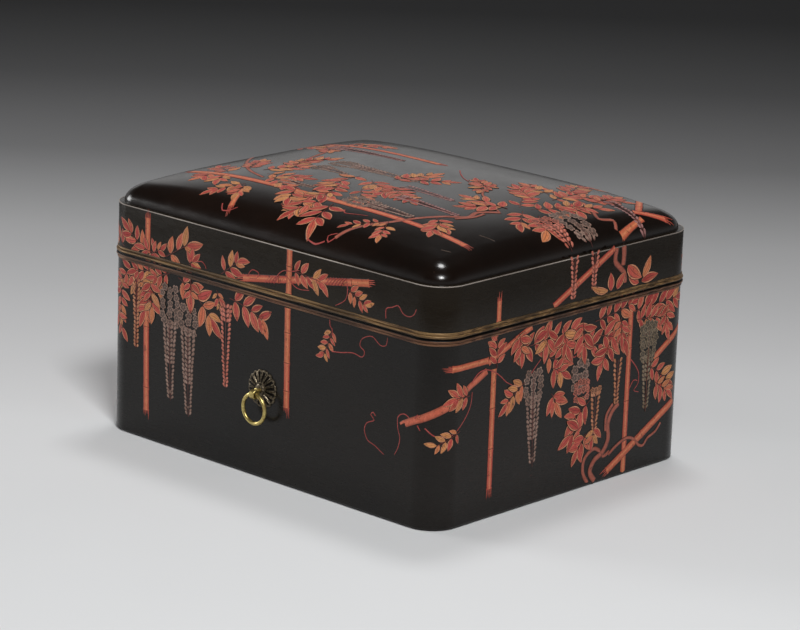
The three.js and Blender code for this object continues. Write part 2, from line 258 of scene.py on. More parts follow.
def outline(inset, corner_steps=20, long_steps=1, short_steps=1):
    """The box's outline in plan, anticlockwise from the middle of the corner at +X +Y."""
    radius = max(CORNER_RADIUS - inset, 0.4 * MM)
    reach = Vector((HALF_LENGTH - inset - radius, HALF_WIDTH - inset - radius))
    sides = [Vector((1, 1)), Vector((-1, 1)), Vector((-1, -1)), Vector((1, -1))]

    def on_arc(corner, quarters):
        angle = quarters * math.pi / 2
        return sides[corner % 4] * reach + radius * Vector((math.cos(angle), math.sin(angle)))

    points = []
    for corner in range(4):
        points += [on_arc(corner, corner + step / corner_steps) for step in range(corner_steps + 1)]
        start, end = points[-1], on_arc(corner + 1, corner + 1)
        steps = long_steps if corner % 2 == 0 else short_steps
        for step in range(1, steps):
            points.append(start.lerp(end, step / steps))
    return points


def make_object(name, points, faces, material, body, nodes=(), smooth=35.0, runs=None):
    mesh = bpy.data.meshes.new(name)
    mesh.from_pydata([tuple(p) for p in points], [], faces)
    mesh.validate()
    mesh.polygons.foreach_set("use_smooth", [True] * len(mesh.polygons))
    mesh.update()
    mesh.set_sharp_from_angle(angle=math.radians(smooth))
    if runs is not None:
        layer = mesh.uv_layers.new(name="run")
        for loop in mesh.loops:
            layer.data[loop.index].uv = runs[loop.vertex_index]
    mesh.materials.append(material)
    piece = bpy.data.objects.new(name, mesh)
    bpy.context.scene.collection.objects.link(piece)
    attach(piece, body)
    if nodes:
        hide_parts(*nodes)
    return piece


def signed_volume(points, faces):
    total = 0.0
    for face in faces:
        for i in range(1, len(face) - 1):
            total += points[face[0]].dot(points[face[i]].cross(points[face[i + 1]]))
    return total


def loft(rings, apexes=None):
    """Joins rings of equal count into a closed body. Open ends close with fans on two apexes."""
    count = len(rings[0])
    points = [Vector(p) for ring in rings for p in ring]
    faces = []
    bands = len(rings) - 1 if apexes else len(rings)
    for band in range(bands):
        low = band * count
        high = ((band + 1) % len(rings)) * count
        for i in range(count):
            n = (i + 1) % count
            faces.append((low + i, low + n, high + n, high + i))
    if apexes:
        last = (len(rings) - 1) * count
        points += [Vector(apexes[0]), Vector(apexes[1])]
        first_apex, last_apex = len(points) - 2, len(points) - 1
        for i in range(count):
            n = (i + 1) % count
            faces.append((first_apex, n, i))
            faces.append((last_apex, last + i, last + n))
    if signed_volume(points, faces) < 0:
        faces = [tuple(reversed(face)) for face in faces]
    return points, faces


def moulding(name, section, material, body, nodes=(), smooth=35.0, corner_steps=20):
    """A closed section, as (inset, height) points, carried round the box's outline."""
    rings = []
    for inset, height in section:
        rings.append([Vector((p.x, p.y, height)) for p in outline(inset, corner_steps)])
    points, faces = loft(rings)
    around = outline(0, corner_steps)
    along = [0.0]
    for i in range(1, len(around)):
        along.append(along[-1] + (around[i] - around[i - 1]).length)
    across = [0.0]
    for i in range(1, len(section)):
        across.append(across[-1] + math.dist(section[i], section[i - 1]))
    runs = [(a, c) for c in across for a in along]
    return make_object(name, points, faces, material, body, nodes, smooth, runs)


def crown_rise(x, y):
    """How far the crown stands over the end of the shoulder, falling to nothing at the edges."""
    across_x = abs(x) / (HALF_LENGTH - LEDGE)
    across_y = abs(y) / (HALF_WIDTH - LEDGE)
    return CROWN_RISE * (1 - min(across_x, 1) ** CROWN_POWER) * (1 - min(across_y, 1) ** CROWN_POWER)


def shoulder_rise(inset):
    """A quarter ellipse from the ledge up to the crown."""
    left = max(1 - (inset - LEDGE) / SHOULDER_REACH, 0)
    return SHOULDER_RISE * math.sqrt(max(1 - left**2, 0))


def inset_of(x, y):
    """How far a point of the plan lies inside the outer wall."""
    reach_x = HALF_LENGTH - CORNER_RADIUS
    reach_y = HALF_WIDTH - CORNER_RADIUS
    past_x, past_y = abs(x) - reach_x, abs(y) - reach_y
    if past_x > 0 and past_y > 0:
        return CORNER_RADIUS - math.hypot(past_x, past_y)
    return min(HALF_LENGTH - abs(x), HALF_WIDTH - abs(y))


def dome_height(x, y):
    return LEDGE_HEIGHT + shoulder_rise(max(inset_of(x, y), LEDGE)) + crown_rise(x, y)


# Lacquered shells


def body_shell():
    foot_round = 0.5 * MM
    section = [
        (foot_round * 2, FOOT),
        (foot_round * 0.4, FOOT + foot_round * 0.15),
        (-0.12 * MM, FOOT + foot_round),
        (-0.12 * MM, FOOT + foot_round * 2.2),
        (0.0, FOOT + foot_round * 5),
        (0.0, BODY_TOP),
        (WALL, BODY_TOP),
        (WALL, board_high.z),
        (WALL, FOOT),
    ]
    nodes = [f"body_{side}_board" for side in ("front", "back", "left", "right")]
    nodes += [f"body_corner_{i}" for i in range(1, 5)]
    return moulding("body_lacquer", section, BLACK, "body", nodes)


def lid_shell():
    lip = 0.25 * MM
    section = [
        (0.0, LID_FOOT),
        (0.0, LEDGE_HEIGHT - lip),
        (lip * 0.3, LEDGE_HEIGHT - lip * 0.3),
        (lip, LEDGE_HEIGHT),
        (WALL, LEDGE_HEIGHT),
        (WALL, LID_FOOT),
    ]
    nodes = [f"lid_{side}_board" for side in ("front", "back", "left", "right")]
    nodes += [f"lid_corner_{i}" for i in range(1, 5)]
    return moulding("lid_wall_lacquer", section, LID_BLACK, "lid", nodes)


def lid_dome():
    long_steps, short_steps, corner_steps = 40, 32, 16

    def skin(inset, scale, drop):
        ring = []
        for p in outline(inset, corner_steps, long_steps, short_steps):
            x, y = p.x * scale, p.y * scale
            height = LEDGE_HEIGHT + shoulder_rise(inset) + crown_rise(x, y) - drop
            ring.append(Vector((x, y, height)))
        return ring

    def flat(inset):
        around = outline(inset, corner_steps, long_steps, short_steps)
        return [Vector((p.x, p.y, LEDGE_HEIGHT)) for p in around]

    shoulder_end = LEDGE + SHOULDER_REACH
    outer = [flat(LEDGE)]
    for step in range(1, 15):
        angle = step / 14 * math.pi / 2
        outer.append(skin(LEDGE + SHOULDER_REACH * (1 - math.cos(angle)), 1, 0))
    hollow_edge = LEDGE + TOP_THICKNESS
    inner = [flat(hollow_edge)]
    for step in range(7):
        inner.append(skin(hollow_edge + (shoulder_end - hollow_edge) * step / 6, 1, TOP_THICKNESS))
    rings = 22
    for step in range(1, rings):
        scale = 1 - step / rings
        outer.append(skin(shoulder_end, scale, 0))
        inner.append(skin(shoulder_end, scale, TOP_THICKNESS))
    inner.reverse()
    crown = PEAK - PAINT_ALLOWANCE
    points, faces = loft(inner + outer, [(0, 0, crown - TOP_THICKNESS), (0, 0, crown)])
    nodes = ["lid_top_board"]
    return make_object("lid_dome_lacquer", points, faces, TOP_BLACK, "lid", nodes, 50)


def bottom_board():
    inset = HALF_LENGTH - board_high.x
    inner = HALF_LENGTH - lip_high.x
    rings = []
    rounding = 0.3 * MM
    for d, z in (
        (inset + rounding, 0.0),
        (inset, rounding),
        (inset, FOOT),
        (inner, FOOT),
        (inner, board_high.z - rounding),
        (inner + rounding, board_high.z),
    ):
        rings.append([Vector((p.x, p.y, z)) for p in outline(d)])
    points, faces = loft(rings, [(0, 0, 0), (0, 0, board_high.z)])
    nodes = ["body_bottom_board"]
    return make_object("bottom_board_lacquer", points, faces, INSIDE, "body", nodes)


def inner_lip():
    outer = HALF_LENGTH - lip_high.x
    thickness = 2 * MM
    rounding = 0.7 * MM
    section = [(outer, lip_low.z), (outer, lip_high.z - rounding)]
    for step in range(1, 6):
        angle = step / 6 * math.pi
        inset = outer + thickness / 2 * (1 - math.cos(angle))
        section.append((inset, lip_high.z - rounding * (1 - math.sin(angle))))
    section += [
        (outer + thickness, lip_high.z - rounding),
        (outer + thickness, lip_low.z + rounding),
        (outer + thickness - rounding, lip_low.z),
    ]
    return moulding("inner_lip_lacquer", section, INSIDE, "body", ["inner_lip"])


def mouth_rim(name, way, material, body, node):
    """Flat strip, fine groove and rounded bead, turned over the end of the wall."""
    cover = 0.8 * MM
    relief = 0.35 * MM
    bead = 2.1 * MM
    groove = 0.2 * MM
    strip = 0.55 * MM
    root = 0.2 * MM
    section = [(WALL, cover), (WALL, 0.0), (0.0, 0.0)]
    for step in range(13):
        angle = math.pi * step / 12
        reach = root + (BEAD_REACH - root) * math.sin(angle)
        section.append((-reach, relief + bead / 2 - bead / 2 * math.cos(angle)))
    section += [
        (-strip * 0.8, relief + bead + groove),
        (-strip, relief + bead + groove * 1.8),
        (-strip, RIM_HEIGHT - groove * 1.5),
        (-strip * 0.6, RIM_HEIGHT - groove * 0.4),
        (-root, RIM_HEIGHT),
        (-0.02 * MM, RIM_HEIGHT),
        (-0.02 * MM, cover),
    ]
    section = [(inset, SEAM + way * rise) for inset, rise in section]
    return moulding(name, section, material, body, [node], 50)


def ledge_line():
    """The pale rubbed edge where the lid's wall meets its ledge."""
    height, width, proud = 0.6 * MM, 0.4 * MM, 0.08 * MM
    section = [
        (0.05 * MM, LEDGE_HEIGHT - height),
        (-proud * 0.8, LEDGE_HEIGHT - height * 0.8),
        (-proud, LEDGE_HEIGHT - height * 0.3),
        (-proud * 0.5, LEDGE_HEIGHT + proud * 0.6),
        (width * 0.4, LEDGE_HEIGHT + proud),
        (width, LEDGE_HEIGHT + proud * 0.2),
        (width, LEDGE_HEIGHT - height * 0.5),
    ]
    return moulding("ledge_edge", section, EDGE_LINE, "lid", (), 60)


# Cord-ring fittings, drawn on a wall whose face is y = 0 with +Y pointing away from the box

FITTING_HEIGHT = (rosette_low.z + rosette_high.z) / 2
RING_WIRE = ring_high.y - ring_low.y
RING_RADIUS = (ring_high.x - ring_low.x) / 2 - RING_WIRE / 2
EYE_REACH = -(ring_low.y + ring_high.y) / 2 - HALF_WIDTH
EYE_DROP = FITTING_HEIGHT - (ring_high.z - RING_WIRE / 2)
EYE_WIDTH = eye_high.x - eye_low.x
EYE_RADIUS = -eye_low.y - HALF_WIDTH - EYE_REACH
STRAP = 1.2 * MM
SHANK = 1.8 * MM
PETALS = 16
HOLLOW_SHARE = 0.58
HOLLOW_START, HOLLOW_END = 4.4 * MM, 11.2 * MM


def rounded_box(low, high, rounding):
    """A block with chamfered edges, as a loft of four rectangles with cut corners along Y."""
    def rectangle(y, shrink):
        x0, x1 = low[0] + shrink, high[0] - shrink
        z0, z1 = low[2] + shrink, high[2] - shrink
        c = rounding
        return [
            Vector(p)
            for p in (
                (x0 + c, y, z0), (x1 - c, y, z0), (x1, y, z0 + c), (x1, y, z1 - c),
                (x1 - c, y, z1), (x0 + c, y, z1), (x0, y, z1 - c), (x0, y, z0 + c),
            )
        ]
    rings = [
        rectangle(low[1], rounding),
        rectangle(low[1] + rounding, 0),
        rectangle(high[1] - rounding, 0),
        rectangle(high[1], rounding),
    ]
    middle = [(low[i] + high[i]) / 2 for i in range(3)]
    return loft(rings, [(middle[0], low[1], middle[2]), (middle[0], high[1], middle[2])])


def joined(*parts):
    """Several bodies in one mesh."""
    points, faces = [], []
    for part_points, part_faces in parts:
        base = len(points)
        points += part_points
        faces += [tuple(base + i for i in face) for face in part_faces]
    return points, faces


def rosette_shape():
    """Sixteen hollowed petals with raised borders and scalloped ends round a raised hub."""
    samples_per_petal = 12
    samples = PETALS * samples_per_petal
    rim = (rosette_high.x - rosette_low.x) / 2 + 0.1 * MM
    hub = 3.8 * MM
    height = rosette_high.y - rosette_low.y
    notch, edge, dome, border, hollow = 0.9 * MM, 0.7 * MM, 1.5 * MM, 0.45 * MM, 0.9 * MM

    def ring(radius_of, height_of):
        points = []
        for i in range(samples):
            angle = i / samples * 2 * math.pi
            across = 2 * (i % samples_per_petal) / samples_per_petal - 1
            radius = radius_of(across)
            points.append(Vector((radius * math.cos(angle), height_of(across), radius * math.sin(angle))))
        return points

    def edge_radius(across):
        return rim - notch * (abs(across) ** 2.2)

    def petal(share):
        window = math.sin(math.pi * min(max((share - 0.05) / 0.88, 0), 1)) ** 0.5
        base = edge + dome * (1 - share**1.6)

        def at(across):
            groove = 0.5 * MM * max(abs(across) - 0.86, 0) / 0.14
            dish = hollow * max(1 - (across / 0.62) ** 2, 0) ** 0.6 * window
            return base + border * math.sin(math.pi * min(share, 0.96)) - dish - groove * (share > 0.1)

        return ring(lambda across: hub + (edge_radius(across) - hub) * share, at)

    rings = [
        ring(edge_radius, lambda across: 0.0),
        ring(edge_radius, lambda across: edge * 0.8),
    ]
    rings += [petal(share) for share in (0.97, 0.92, 0.86, 0.75, 0.6, 0.45, 0.3, 0.18, 0.08)]
    rings += [
        ring(lambda across: hub, lambda across: edge + dome),
        ring(lambda across: hub * 0.97, lambda across: height - 0.9 * MM),
        ring(lambda across: hub * 0.86, lambda across: height - 0.35 * MM),
        ring(lambda across: hub * 0.66, lambda across: height - 0.06 * MM),
    ]
    return loft(rings, [(0, 0, 0), (0, height, 0)])


def petal_hollow(points, face):
    """Whether a face of the rosette lies in the hollow of a petal, which takes the near-black bronze."""
    middle = sum((points[i] for i in face), Vector()) / len(face)
    radius = math.hypot(middle.x, middle.z)
    turn = math.atan2(middle.z, middle.x) / (2 * math.pi) * PETALS
    across = abs(2 * (turn % 1) - 1)
    return across < HOLLOW_SHARE and HOLLOW_START < radius < HOLLOW_END and middle.y > 0.2 * MM


def eye_shape():
    """Strap loop round the swing line, its neck to the hub, shank and the two legs inside."""
    steps, rounding = 40, 0.28 * MM
    half, outer, inner = EYE_WIDTH / 2, EYE_RADIUS, EYE_RADIUS - STRAP
    flat = half - rounding
    section = [(flat, outer), (half, outer - rounding), (half, inner + rounding), (flat, inner)]
    section += [(-x, r) for x, r in reversed(section)]
    rings = []
    for step in range(steps):
        angle = step / steps * 2 * math.pi
        out, up = math.cos(angle), math.sin(angle)
        rings.append([Vector((x, EYE_REACH + r * out, -EYE_DROP + r * up)) for x, r in section])
    leg_face = -WALL - (washer_high.y - washer_low.y) - 0.3 * MM
    leg = 0.9 * MM
    leg_reach = (eye_high.z - eye_low.z) / 2
    neck_end = EYE_REACH - math.sqrt(max(EYE_RADIUS**2 - (EYE_DROP - SHANK / 2) ** 2, 0)) + STRAP * 0.8
    neck = rounded_box((-half, leg_face - leg * 0.5, -SHANK / 2), (half, neck_end, SHANK / 2), 0.25 * MM)
    length = eye_high.z - FITTING_HEIGHT
    legs = rounded_box((-half, leg_face - leg, -length), (half, leg_face, length), 0.25 * MM)
    return joined(loft(rings), neck, legs)


def washer_shape():
    thickness = washer_high.y - washer_low.y
    radius = (washer_high.x - washer_low.x) / 2
    rounding = 0.2 * MM
    hole = 2.6 * MM
    sides = 48
    rings = []
    for r, y in (
        (hole, -WALL), (radius, -WALL), (radius, -WALL - thickness + rounding),
        (radius - rounding, -WALL - thickness), (hole, -WALL - thickness),
    ):
        angles = [i / sides * 2 * math.pi for i in range(sides)]
        rings.append([Vector((r * math.cos(angle), y, r * math.sin(angle))) for angle in angles])
    return loft(rings)


def ring_shape():
    """Hand-drawn brass wire, a little uneven in thickness, bent into a ring."""
    rings = []
    steps, sides = 96, 20
    centre = Vector((0, EYE_REACH, -EYE_DROP - RING_RADIUS))
    away = Vector((0, 1, 0))
    for step in range(steps):
        angle = step / steps * 2 * math.pi
        wire = RING_WIRE / 2 * (0.985 + 0.012 * math.sin(3 * angle + 0.6))
        out = Vector((math.cos(angle), 0, math.sin(angle)))
        section = []
        for side in range(sides):
            turn = 2 * math.pi * side / sides
            section.append(centre + out * (RING_RADIUS + wire * math.cos(turn)) + away * wire * math.sin(turn))
        rings.append(section)
    return loft(rings)


def add_fitting(side, turned):
    """Rosette, eye, washer and ring, replaced on one long side of the box."""
    turn = Matrix.Rotation(math.pi if turned else 0, 4, "Z")
    move = Matrix.Translation((0, -HALF_WIDTH if turned else HALF_WIDTH, FITTING_HEIGHT))
    for part, shape, material, body, slot in (
        ("rosette", rosette_shape, BRONZE, "body", "dark_bronze"),
        ("eye", eye_shape, BRASS, "body", "ring_brass"),
        ("washer", washer_shape, BRONZE, "body", "dark_bronze"),
        ("ring", ring_shape, BRASS, f"{side}_ring", "ring_brass"),
    ):
        points, faces = shape()
        hollows = [petal_hollow(points, face) for face in faces]
        points = [move @ turn @ p for p in points]
        node = f"{side}_{part}"
        piece = make_object(f"{node}_metal", points, faces, material, body, [node], 40)
        # The faces in the petal hollows take the near-black bronze.
        if part == "rosette":
            piece.data.materials.append(GROOVE)
            for polygon, hollow in zip(piece.data.polygons, hollows):
                polygon.material_index = int(hollow)


# Charts: how a flat drawing in millimetres is laid on the box

REACH_X = HALF_LENGTH - CORNER_RADIUS
REACH_Y = HALF_WIDTH - CORNER_RADIUS
ARC = CORNER_RADIUS * math.pi / 2
ROUND = 4 * REACH_X + 4 * REACH_Y + 4 * ARC


class WallChart:
    """u runs round the walls, towards the right of who faces them, from the given start. v is the height."""

    def __init__(self, start):
        self.start = start

    def place(self, u, v, lift):
        s = ((self.start + u) * MM) % ROUND
        lengths = [REACH_X, ARC, 2 * REACH_Y, ARC, 2 * REACH_X, ARC, 2 * REACH_Y, ARC, REACH_X]
        starts = [
            (Vector((0, -HALF_WIDTH)), 0),
            None,
            (Vector((HALF_LENGTH, -REACH_Y)), 90),
            None,
            (Vector((REACH_X, HALF_WIDTH)), 180),
            None,
            (Vector((-HALF_LENGTH, REACH_Y)), 270),
            None,
            (Vector((-REACH_X, -HALF_WIDTH)), 0),
        ]
        centres = [(REACH_X, -REACH_Y), (REACH_X, REACH_Y), (-REACH_X, REACH_Y), (-REACH_X, -REACH_Y)]
        for i, length in enumerate(lengths):
            if s <= length or i == len(lengths) - 1:
                break
            s -= length
        if starts[i]:
            origin, turn = starts[i]
            angle = math.radians(turn)
            along = Vector((math.cos(angle), math.sin(angle)))
            out = Vector((math.sin(angle), -math.cos(angle)))
            p = origin + along * s + out * lift
        else:
            corner = i // 2
            angle = math.radians(-90 + 90 * corner) + s / CORNER_RADIUS
            p = Vector(centres[corner]) + Vector((math.cos(angle), math.sin(angle))) * (CORNER_RADIUS + lift)
        return Vector((p.x, p.y, v * MM))


class TopChart:
    """u and v are X and Y in plan, laid on the dome."""

    def place(self, u, v, lift):
        x, y = u * MM, v * MM
        d = 0.2 * MM
        z = dome_height(x, y)
        normal = Vector((-(dome_height(x + d, y) - z) / d, -(dome_height(x, y + d) - z) / d, 1)).normalized()
        return Vector((x, y, z)) + normal * lift


SIDE_START = (REACH_X + ARC + REACH_Y) / MM


# Painting: each stroke is a small raised, closed patch with its tints on its points

OUTLINE = (15, 10, 8)
LAYER_BASE = 0.035
LAYER_STEP = 0.065
LAYER_CELL = 2.2
MOST_LAYERS = 8
SKIRT = 0.06 * MM
REDS = [(192, 72, 66), (182, 64, 60), (202, 86, 74), (170, 56, 52), (194, 80, 70)]
ORANGES = [(214, 146, 88), (208, 124, 78), (198, 136, 84), (212, 112, 78)]
TAN = (220, 150, 112)
RIB = (84, 30, 25)
BRANCH = (206, 106, 80)
GREY = (152, 122, 108)
MAUVE = (164, 116, 112)
ROSE = (204, 118, 98)
OCHRE = (192, 126, 90)
VINE = (170, 92, 74)
TENDRIL = (178, 76, 70)
PALE_STREAK = (104, 84, 70)
CANE = (
    (112, 40, 34), (188, 80, 62), (200, 98, 76), (222, 134, 98),
    (198, 88, 68), (172, 66, 54), (106, 38, 32),
)
JOINT = (96, 34, 28)
SPLINTER = (190, 84, 66)
STALK = (104, 42, 34)


class Painting:
    """Collects the strokes of one piece. A motif lies on top of the motifs painted before it."""

    def __init__(self, chart, seed):
        self.points, self.faces, self.tints = [], [], []
        self.random = random.Random(seed)
        self.chart = chart
        self.count = 0
        self.layers, self.fresh = {}, {}

    def patch(self, rows, tints, heights):
        """rows of (u, v); tints and heights match them. The border is carried down into the lacquer."""
        base = len(self.points)
        self.count += 1
        cells = {(round(u / LAYER_CELL), round(v / LAYER_CELL)) for row in rows for u, v in row}
        layer = min(max(self.layers.get(cell, 0) for cell in cells), MOST_LAYERS)
        for cell in cells:
            self.fresh[cell] = max(self.fresh.get(cell, 0), layer + 1)
        lift = LAYER_BASE + LAYER_STEP * layer + 0.0003 * (self.count % 100)
        width, depth = len(rows[0]), len(rows)
        for row, row_tints, row_heights in zip(rows, tints, heights):
            for (u, v), tint, height in zip(row, row_tints, row_heights):
                self.points.append(self.chart.place(u, v, (lift + height) * MM))
                self.tints.append(linear(*tint))
        for r in range(depth - 1):
            for c in range(width - 1):
                i = base + r * width + c
                self.faces.append((i, i + 1, i + width + 1, i + width))
        border = [base + c for c in range(width)]
        border += [base + r * width + width - 1 for r in range(1, depth)]
        border += [base + (depth - 1) * width + c for c in range(width - 2, -1, -1)]
        border += [base + r * width for r in range(depth - 2, 0, -1)]
        flat = [place for row in rows for place in row]
        skirt = len(self.points)
        for i in border:
            u, v = flat[i - base]
            self.points.append(self.chart.place(u, v, -SKIRT))
            self.tints.append(linear(*OUTLINE))
        total = len(border)
        for i in range(total):
            n = (i + 1) % total
            self.faces.append((border[n], border[i], skirt + i, skirt + n))
        self.faces.append(tuple(skirt + i for i in reversed(range(total))))

    def settle(self):
        """Ends a motif, so that the next one lies over it."""
        for cell, layer in self.fresh.items():
            self.layers[cell] = max(self.layers.get(cell, 0), layer)
        self.fresh = {}

    def tone(self, colour, spread=10):
        shift = self.random.uniform(-spread, spread)
        return tuple(min(max(c + shift, 0), 255) for c in colour)

    def leaf(self, u, v, angle, length, width, warmth):
        """One leaflet: red blade, dark midrib, tan edge and a dark reserved outline."""
        pick = self.random
        blade = pick.choice(ORANGES if pick.random() < warmth else REDS)
        tip = pick.choice(ORANGES)
        fade = pick.uniform(0.0, 0.5)
        bend = pick.uniform(-0.3, 0.3)
        lean = pick.uniform(-0.3, 0.3)
        rows, tints, heights = [], [], []
        spans = (-1.3, -1.02, -1.0, -0.8, -0.71, -0.6, -0.1, 0.0, 0.1, 0.6, 0.71, 0.8, 1.0, 1.02, 1.3)
        for t in (0.0, 0.06, 0.18, 0.34, 0.52, 0.7, 0.87, 1.0):
            half = width / 2 * math.sin(math.pi * t**0.82) ** 0.86 if 0 < t < 1 else 0.0
            turn = angle + bend * (t - 0.5)
            middle = (u + length * t * math.cos(turn), v + length * t * math.sin(turn))
            row, row_tints, row_heights = [], [], []
            for span in spans:
                reach = half * max(min(span, 1.0), -1.0)
                if abs(span) > 1 and 0 < t < 1:
                    reach += math.copysign(0.5 if abs(span) > 1.1 else 0.02, span)
                row.append((middle[0] - math.sin(turn) * reach, middle[1] + math.cos(turn) * reach))
                if abs(span) > 1:
                    row_tints.append(OUTLINE)
                    row_heights.append(-0.01)
                elif abs(span) in (0.0, 0.71):
                    row_tints.append(RIB)
                    row_heights.append(0.02)
                elif abs(span) >= 0.8:
                    row_tints.append(self.tone(TAN, 14))
                    row_heights.append(0.03)
                else:
                    share = min(max(t * fade + lean * span, 0), 1)
                    row_tints.append(self.tone(blend(blade, tip, share), 12))
                    row_heights.append(0.05)
            rows.append(row)
            tints.append(row_tints)
            heights.append(row_heights)
        self.patch(rows, tints, heights)

    def stroke(self, path, width, colour, edge=None, taper=0.0, outlined=False):
        """A line of even or tapering width along a smooth path."""
        smooth = spline(path)
        spans = (-1.3, -1.02, -1.0, -0.4, 0.4, 1.0, 1.02, 1.3) if outlined else (-1.0, -0.4, 0.4, 1.0)
        edge = edge or tuple(c * 0.68 for c in colour)
        rows, tints, heights = [], [], []
        last = len(smooth) - 1
        for i, (u, v) in enumerate(smooth):
            before, after = smooth[max(i - 1, 0)], smooth[min(i + 1, last)]
            direction = Vector((after[0] - before[0], after[1] - before[1])).normalized()
            half = width / 2 * (1 - taper * i / last)
            row, row_tints, row_heights = [], [], []
            for span in spans:
                row.append((u - direction.y * half * span, v + direction.x * half * span))
                if abs(span) > 1:
                    row_tints.append(OUTLINE)
                    row_heights.append(-0.02)
                elif abs(span) == 1:
                    row_tints.append(self.tone(edge, 6))
                    row_heights.append(0.0)
                else:
                    row_tints.append(self.tone(colour, 12))
                    row_heights.append(0.05)
            rows.append(row)
            tints.append(row_tints)
            heights.append(row_heights)
        self.patch(rows, tints, heights)

    def pole(self, start, end, width=5.0, frayed=(False, True), joint=26):
        """A bamboo pole: straight joints with swollen nodes, a pale streak along them and frayed ends."""
        pick = self.random
        length = math.dist(start, end)
        along = ((end[0] - start[0]) / length, (end[1] - start[1]) / length)

        def at(distance, off):
            return (
                start[0] + along[0] * distance - along[1] * off,
                start[1] + along[1] * distance + along[0] * off,
            )

        spans = (-1.2, -1.02, -1.0, -0.8, -0.3, 0.1, 0.5, 0.82, 1.0, 1.02, 1.2)
        distance = 0.0
        while distance < length - 1:
            reach = min(pick.uniform(0.8, 1.2) * joint, length - distance)
            if length - distance - reach < 7:
                reach = length - distance
            warm = pick.uniform(0, 0.35)
            parts = max(round(reach / 2.5), 1)
            middle = [1.3 + (reach - 2.6) * i / parts for i in range(parts)]
            stops = (0, 0.5, *middle, reach - 1.3, reach - 0.5, reach)
            rows, tints, heights = [], [], []
            for stop in stops:
                swell = 1.12 if min(stop, reach - stop) < 0.8 else 1.0
                row, row_tints, row_heights = [], [], []
                for i, span in enumerate(spans):
                    row.append(at(distance + stop, width / 2 * span * swell))
                    if abs(span) > 1:
                        row_tints.append(OUTLINE)
                        row_heights.append(-0.02)
                    else:
                        colour = blend(CANE[i - 2], ORANGES[0], warm)
                        if stop == reach and distance + reach < length - 1:
                            colour = JOINT
                        row_tints.append(self.tone(colour, 8))
                        row_heights.append(0.07 * (1 - span**2) + 0.02)
                rows.append(row)
                tints.append(row_tints)
                heights.append(row_heights)
            self.patch(rows, tints, heights)
            distance += reach + 0.2
        for is_frayed, distance, way in ((frayed[0], 0.0, -1), (frayed[1], length, 1)):
            if is_frayed:
                for off in (-0.38, -0.12, 0.14, 0.4):
                    reach = pick.uniform(2, 7.5)
                    path = [
                        at(distance - way * 1.0, width * off),
                        at(distance + way * reach * 0.5, width * (off + pick.uniform(-0.04, 0.04))),
                        at(distance + way * reach, width * (off + pick.uniform(-0.1, 0.1))),
                    ]
                    self.stroke(path, 1.15, SPLINTER, taper=0.85)
        self.settle()

    def spray(self, u, v, heading, length, leaflet, warmth=0.4, bend=0.0, end=None, pairs=None):
        """A compound leaf: a thin stalk with paired leaflets and one at the end."""
        pick = self.random
        heading, bend = math.radians(heading), math.radians(bend)
        pairs = pairs or max(2, round(length / (leaflet * 0.6)))
        steps = 12
        stalk, turns = [], []
        x, y = u, v
        for i in range(steps + 1):
            turn = heading + bend * i / steps
            stalk.append((x, y))
            turns.append(turn)
            x += length / steps * math.cos(turn)
            y += length / steps * math.sin(turn)
        self.stroke(stalk, 0.6, STALK, taper=0.3)
        for pair in range(pairs):
            t = (pair + 0.65) / (pairs + 0.1)
            i = min(int(t * steps), steps - 1)
            px, py = blend(stalk[i], stalk[i + 1], t * steps - i)
            size = leaflet * (0.74 + 0.34 * math.sin(math.pi * (t * 0.8 + 0.12)))
            for side in (-1, 1):
                if pick.random() < 0.05:
                    continue
                direction = turns[i] + side * math.radians(pick.uniform(46, 68)) * (1.12 - 0.4 * t)
                reach = size * pick.uniform(0.84, 1.12)
                self.leaf(
                    px + 0.6 * math.cos(direction),
                    py + 0.6 * math.sin(direction),
                    direction,
                    reach,
                    reach * pick.uniform(0.40, 0.52),
                    warmth,
                )
        turn = turns[-1] if end is None else math.radians(end)
        self.leaf(stalk[-1][0], stalk[-1][1], turn, leaflet * 1.1, leaflet * 0.46, warmth)
        self.settle()

    def bud(self, u, v, angle, length, width, colour, core):
        """A closed flower: a teardrop, darker where it meets the stem."""
        rows, tints, heights = [], [], []
        for t, share in ((0.0, 0.2), (0.35, 0.86), (0.7, 1.0), (0.92, 0.66), (1.0, 0.0)):
            tint = blend(core, colour, min(t * 4, 1))
            middle = (u + length * t * math.cos(angle), v + length * t * math.sin(angle))
            half = width / 2 * share
            row, row_tints, row_heights = [], [], []
            for span in (-1.0, -0.55, 0.55, 1.0):
                off = half * span + (math.copysign(0.2, span) if abs(span) == 1 else 0.0)
                row.append((middle[0] - math.sin(angle) * off, middle[1] + math.cos(angle) * off))
                row_tints.append(OUTLINE if abs(span) == 1 else self.tone(tint, 12))
                row_heights.append(0.0 if abs(span) == 1 else 0.05)
            rows.append(row)
            tints.append(row_tints)
            heights.append(row_heights)
        self.patch(rows, tints, heights)

    def floret(self, u, v, size, colour):
        """An open flower: a scalloped disc, dark inside, with a pale drawn edge."""
        steps, lobes = 20, 5
        start = self.random.uniform(0, math.pi)
        inner = tuple(c * 0.60 for c in colour)
        pale = tuple(min(c * 1.02, 255) for c in colour)
        rows, tints, heights = [], [], []
        for share, tint, height in (
            (0.04, pale, 0.05),
            (0.3, inner, 0.04),
            (0.74, inner, 0.05),
            (0.86, pale, 0.07),
            (1.0, pale, 0.04),
            (1.04, OUTLINE, 0.0),
        ):
            row = []
            for i in range(steps + 1):
                angle = start + i / steps * 2 * math.pi
                lobe = 0.66 + 0.34 * abs(math.cos(lobes * (angle - start) / 2)) ** 0.7
                reach = size / 2 * share * (lobe if share > 0.2 else 1) + (0.22 if share > 1 else 0)
                row.append((u + reach * math.cos(angle), v + reach * math.sin(angle)))
            rows.append(row)
            tints.append([self.tone(tint, 8) for _ in row])
            heights.append([height] * (steps + 1))
        self.patch(rows, tints, heights)

